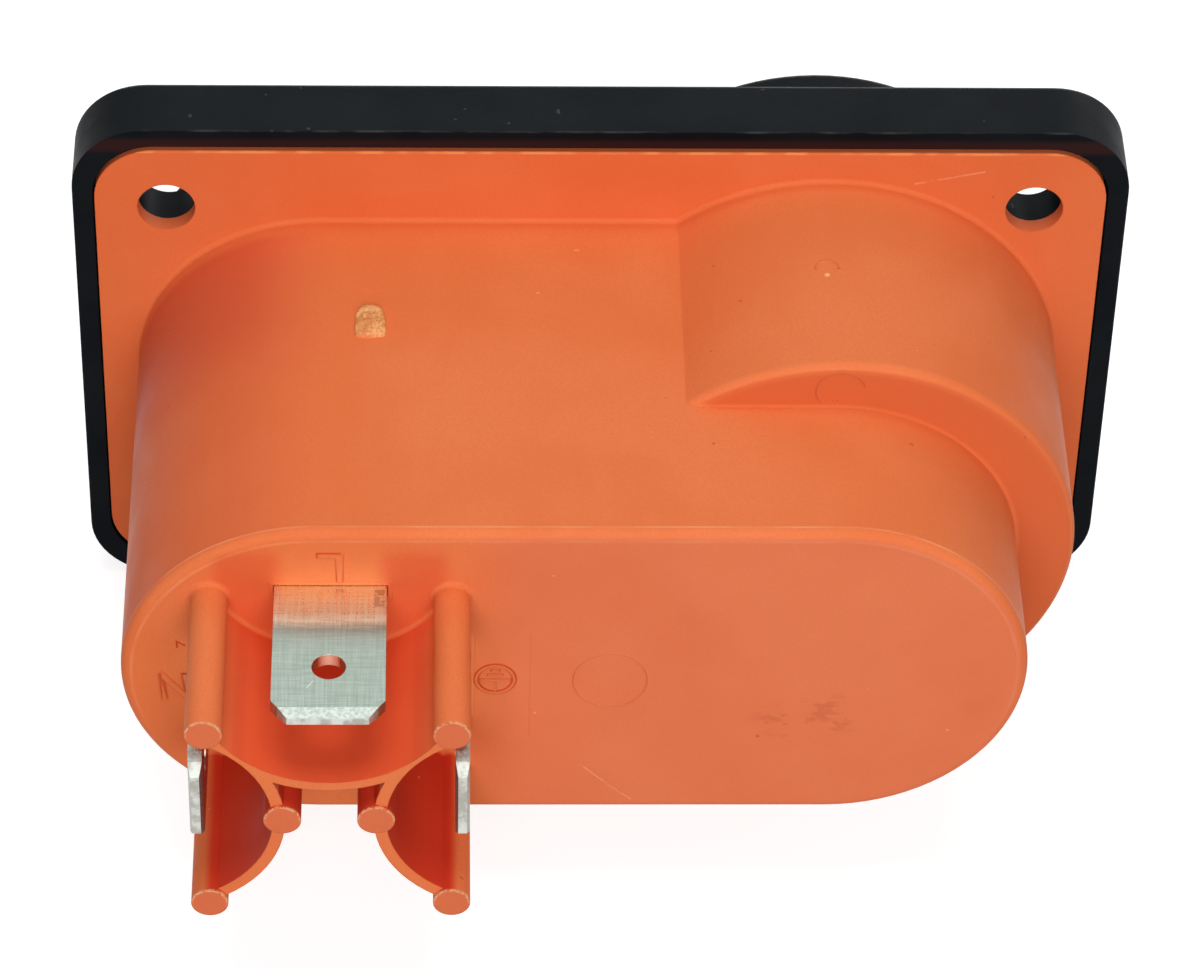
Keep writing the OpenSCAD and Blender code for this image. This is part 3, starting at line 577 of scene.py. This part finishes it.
def polarity_marks():
    joined("line_mark", [raised_line(LINE_PATH, 2 * MARK_HALF, MARK_RISE, on_rear)])
    joined("neutral_mark", [raised_line(NEUTRAL_PATH, 2 * MARK_HALF, MARK_RISE, on_rear)])
    earth = [raised_line(arc(EARTH_X, EARTH_Z, EARTH_R), 0.13, MARK_RISE, on_rear, closed=True)]
    for half, dz in EARTH_BARS:
        bar = [(EARTH_X + half, EARTH_Z + dz), (EARTH_X - half, EARTH_Z + dz)]
        earth.append(raised_line(bar, 0.12, MARK_RISE, on_rear))
    stem = [(EARTH_X, EARTH_Z - 0.06), (EARTH_X, EARTH_Z - 1.02)]
    earth.append(raised_line(stem, 0.10, MARK_RISE * 0.6, on_rear))
    joined("earth_mark", earth)


def pin_rings():
    """Thin rings that the ejector pins and a second gate left."""
    ejector = arc(-0.21, -0.43, 2.12, n=96)
    joined("ejector_ring", [raised_line(ejector, 0.05, 0.035, on_rear, closed=True, slope=0.05)])
    on_the_step = arc(-13.25, 12.4, 1.40, -40, 165, 48)
    joined("step_ring", [raised_line(on_the_step, 0.06, 0.035, on_step, slope=0.05)])
    on_the_boss = arc(-12.85, 7.72, 0.66, 175, 365, 32)
    joined("boss_gate_ring", [raised_line(on_the_boss, 0.09, 0.04, on_boss, slope=0.08)])


def tab_lip(name, cx, cz, wide, tall):
    """Moulding flash that closes most of the slot round a tab, as a flat frame."""
    verts, faces = [], []
    # Each ring of the frame: its distance from the tab, and its height over the rear face
    for gap, y in ((0.04, -0.10), (0.04, 0.02), (0.30, 0.02), (0.36, -0.03)):
        half_w, half_h = wide / 2 + gap, tall / 2 + gap
        for sx, sz in ((-1, -1), (1, -1), (1, 1), (-1, 1)):
            verts.append((cx + sx * half_w, BODY_LEN + y, cz + sz * half_h))
    for row in range(3):
        for k in range(4):
            a, b = 4 * row + k, 4 * row + (k + 1) % 4
            faces.append((a, b, b + 4, a + 4))
    piece(name, verts, faces)


def gate_scar():
    """The broken-off gate on top of the body: a short stub with a torn top."""
    cx, cy, wide, long, tall = SCAR
    rings, sides = 14, 48
    shoulder, flare = 0.72, 0.10
    verts, faces = [], []
    for i in range(rings + 1):
        t = i / rings
        # Out to the shoulder runs the torn top, and from there the side goes down to the body
        side, drop = min(t / shoulder, 1.0), max(t - shoulder, 0) / (1 - shoulder)
        for j in range(sides):
            c, s = way(2 * math.pi * j / sides)
            # A superellipse, which is squarer at the end towards the rear
            power = 6 if s > 0 else 2.4
            reach = (abs(c) ** power + abs(s) ** power) ** (-1 / power) * (side + flare * drop)
            reach *= 1 + 0.10 * noise.noise(Vector((c * 1.6, s * 1.6, 3.1)))
            u, v = cx + wide * reach * c, cy + long * reach * s
            torn = noise.fractal(Vector((u * 2.6, v * 2.6, 0.7)), 0.75, 2.1, 5)
            top = max(tall * (1 - 0.35 * side ** 2) + 0.16 * torn, 0.05)
            verts.append((u, v, BODY_R + top * (1 - drop) - 0.03 * drop))
    for i in range(rings):
        a, b = i * sides, (i + 1) * sides
        for j in range(sides):
            k = (j + 1) % sides
            faces.append((a, b + j, b + k) if i == 0 else (a + j, b + j, b + k, a + k))
    piece("gate_scar", verts, faces, smooth=True)


def shroud_distance(x, z):
    """Signed distance in mm from the shroud's outline, with x from the tabs' centre."""
    x = abs(x)
    posts = min(math.hypot(x - px, z - pz) for px, pz in POSTS) - POST_R
    line_z, line_r, line_wall = LINE_HOLLOW
    side_x, side_z, side_r, side_wall = SIDE_HOLLOW
    line, side = math.hypot(x, z - line_z) - line_r, math.hypot(x - side_x, z - side_z) - side_r
    (post_x, top), (_, low) = POSTS[:2]
    box = max(x - post_x, z - top, low - z)
    walls = max(min(line - line_wall, side - side_wall), -line, -side, box)
    return min(posts, walls)


def root_fillet():
    """The rounded root where the shroud's walls and posts meet the rear face."""
    r, cell, sink, tiny = 0.3, 0.075, 0.004, 1e-6
    columns, rows = 240, 254
    x0, z0 = -9.0, -9.5
    grid, used = {}, {}
    verts, faces = [], []
    for i in range(columns + 1):
        for j in range(rows + 1):
            x, z = x0 + i * cell, z0 + j * cell
            d = shroud_distance(x, z)
            if -1.6 * cell < d < r + 1.6 * cell:
                # A point that is near the fillet's inner or outer line is moved onto it
                gx = (shroud_distance(x + 0.01, z) - shroud_distance(x - 0.01, z)) / 0.02
                gz = (shroud_distance(x, z + 0.01) - shroud_distance(x, z - 0.01)) / 0.02
                k = math.hypot(gx, gz)
                if k > 0.5:
                    for target in (0.0, r):
                        if abs(d - target) < cell * 0.55:
                            x, z, d = x + (target - d) * gx / k, z + (target - d) * gz / k, target
            grid[i, j] = (x, z, d)
    for i in range(columns):
        for j in range(rows):
            corners = [(i, j), (i + 1, j), (i + 1, j + 1), (i, j + 1)]
            farthest = max(grid[c][2] for c in corners)
            if not tiny <= farthest <= r + tiny:
                continue
            face = []
            for c in corners:
                if c not in used:
                    x, z, d = grid[c]
                    out = min(max(d, 0.0), r)
                    y = BODY_LEN + r - math.sqrt(max(r * r - (r - out) ** 2, 0.0)) - sink
                    used[c] = len(verts)
                    verts.append((INLET_X + x, y, z))
                face.append(used[c])
            faces.append(tuple(face))
    piece("shroud_root", verts, faces, smooth=True)


def flange_fillet():
    """The small rounded corner between the flange and the body and boss, one strip for each."""
    r, steps, sink = 0.3, 6, 0.005
    straight, half_turn, round_boss = 18, 64, 96
    right = BODY_SHIFT + BODY_HALF
    cross = BOSS_X + math.sqrt(BOSS_R ** 2 - BODY_R ** 2)
    # Each point of a strip is (x, z) and the way out from the wall there
    body = [(cross + (right - cross) * i / straight, -BODY_R, 0, -1) for i in range(straight + 1)]
    for i in range(1, half_turn + 1):
        c, s = way(math.radians(-90 + 180 * i / half_turn))
        body.append((right + BODY_R * c, BODY_R * s, c, s))
    body += [(right + (cross - right) * i / straight, BODY_R, 0, 1) for i in range(1, straight + 1)]
    a0 = math.atan2(BODY_R, cross - BOSS_X)
    boss = []
    for i in range(round_boss + 1):
        c, s = way(a0 + (2 * math.pi - 2 * a0) * i / round_boss)
        boss.append((BOSS_X + BOSS_R * c, BOSS_R * s, c, s))
    verts, faces = [], []
    for strip in (body, boss):
        first, m = len(verts), steps + 1
        for x, z, nx, nz in strip:
            for k in range(m):
                a = math.pi / 2 * k / steps
                out, up = r * (1 - math.cos(a)) - sink, r * (1 - math.sin(a)) - sink
                verts.append((x + nx * out, up, z + nz * out))
        for i in range(len(strip) - 1):
            a, b = first + i * m, first + (i + 1) * m
            for k in range(steps):
                faces.append((a + k, a + k + 1, b + k + 1, b + k))
    piece("flange_root", verts, faces, smooth=True)


polarity_marks()
pin_rings()
tab_lip("line_tab_lip", INLET_X, TAB_RISE, TAB_W, TAB_T)
tab_lip("neutral_tab_lip", INLET_X + TAB_ASIDE, 0.0, TAB_T, TAB_W)
tab_lip("earth_tab_lip", INLET_X - TAB_ASIDE, 0.0, TAB_T, TAB_W)
gate_scar()
root_fillet()
flange_fillet()


# ---- Studio, in metres and watts

ROOM = (0.165, 0.112, 0.130)
AIM = (0, 0.01, 0)
# Each lamp's place, size, power and colour. The fill lights the socket side from low down.
LAMPS = {
    "top": ((0.0, 0.02, 0.52), (0.28, 0.30), 1.17, (0.93, 1.0, 0.93)),
    "front": ((0.0, 0.46, 0.24), (0.30, 0.25), 1.80, (1.0, 1.0, 0.98)),
    "side": ((-0.42, 0.20, 0.24), (0.25, 0.25), 0.12, (1.0, 1.0, 1.0)),
    "back": ((-0.03, -0.36, 0.38), (0.60, 0.50), 0.52, (0.97, 1.0, 0.96)),
    "fill": ((-0.08, -0.50, 0.05), (0.40, 0.12), 1.2, (1.0, 1.0, 1.0)),
}
FLOOR_HALF, FLOOR_GREY, FLOOR_GLOW = 3.0, 0.45, 0.78


def seen_rays(nt):
    """1 for the rays of the camera, of reflections and of glass, which see a white backdrop."""
    path = nt.nodes.new("ShaderNodeLightPath")
    seen = path.outputs["Is Camera Ray"]
    for ray in ("Is Glossy Ray", "Is Transmission Ray"):
        either = nt.nodes.new("ShaderNodeMath")
        either.operation = "MAXIMUM"
        nt.links.new(seen, either.inputs[0])
        nt.links.new(path.outputs[ray], either.inputs[1])
        seen = either.outputs[0]
    return seen


def make_world():
    """A dim room that lights the object, and white where it is seen."""
    world = bpy.data.worlds.new("studio")
    bpy.context.scene.world = world
    world.use_nodes = True
    nt = world.node_tree
    mix = nt.nodes.new("ShaderNodeMix")
    mix.data_type = "RGBA"
    nt.links.new(seen_rays(nt), mix.inputs[0])
    mix.inputs[6].default_value = (*ROOM, 1)
    mix.inputs[7].default_value = (1, 1, 1, 1)
    background = nt.nodes["Background"]
    background.inputs[1].default_value = 1.0
    nt.links.new(mix.outputs[2], background.inputs[0])


def make_lamps():
    for name, (place, size, power, color) in LAMPS.items():
        o = bpy.data.objects.new(name, bpy.data.lights.new(name, "AREA"))
        bpy.context.scene.collection.objects.link(o)
        o.location = place
        o.data.shape = "RECTANGLE"
        o.data.size, o.data.size_y = size
        o.data.energy = power
        o.data.color = color
        o.rotation_euler = (Vector(AIM) - Vector(place)).to_track_quat("-Z", "Y").to_euler()


def make_floor():
    me = bpy.data.meshes.new("floor")
    s, z = FLOOR_HALF, -PLATE_H / 2 * MM
    me.from_pydata([(-s, -s, z), (s, -s, z), (s, s, z), (-s, s, z)], [], [(0, 1, 2, 3)])
    floor = bpy.data.objects.new("floor", me)
    bpy.context.scene.collection.objects.link(floor)
    m = bpy.data.materials.new("floor")
    m.use_nodes = True
    nt = m.node_tree
    bsdf = nt.nodes["Principled BSDF"]
    bsdf.inputs["Base Color"].default_value = (FLOOR_GREY, FLOOR_GREY, FLOOR_GREY, 1)
    bsdf.inputs["Roughness"].default_value = 0.9
    bsdf.inputs["Specular IOR Level"].default_value = 0.1
    glow = nt.nodes.new("ShaderNodeMath")
    glow.operation = "MULTIPLY"
    nt.links.new(seen_rays(nt), glow.inputs[0])
    glow.inputs[1].default_value = FLOOR_GLOW
    bsdf.inputs["Emission Color"].default_value = (1, 1, 1, 1)
    nt.links.new(glow.outputs[0], bsdf.inputs["Emission Strength"])
    me.materials.append(m)


make_camera()
bpy.context.scene.view_settings.view_transform = "Standard"
make_world()
make_lamps()
make_floor()
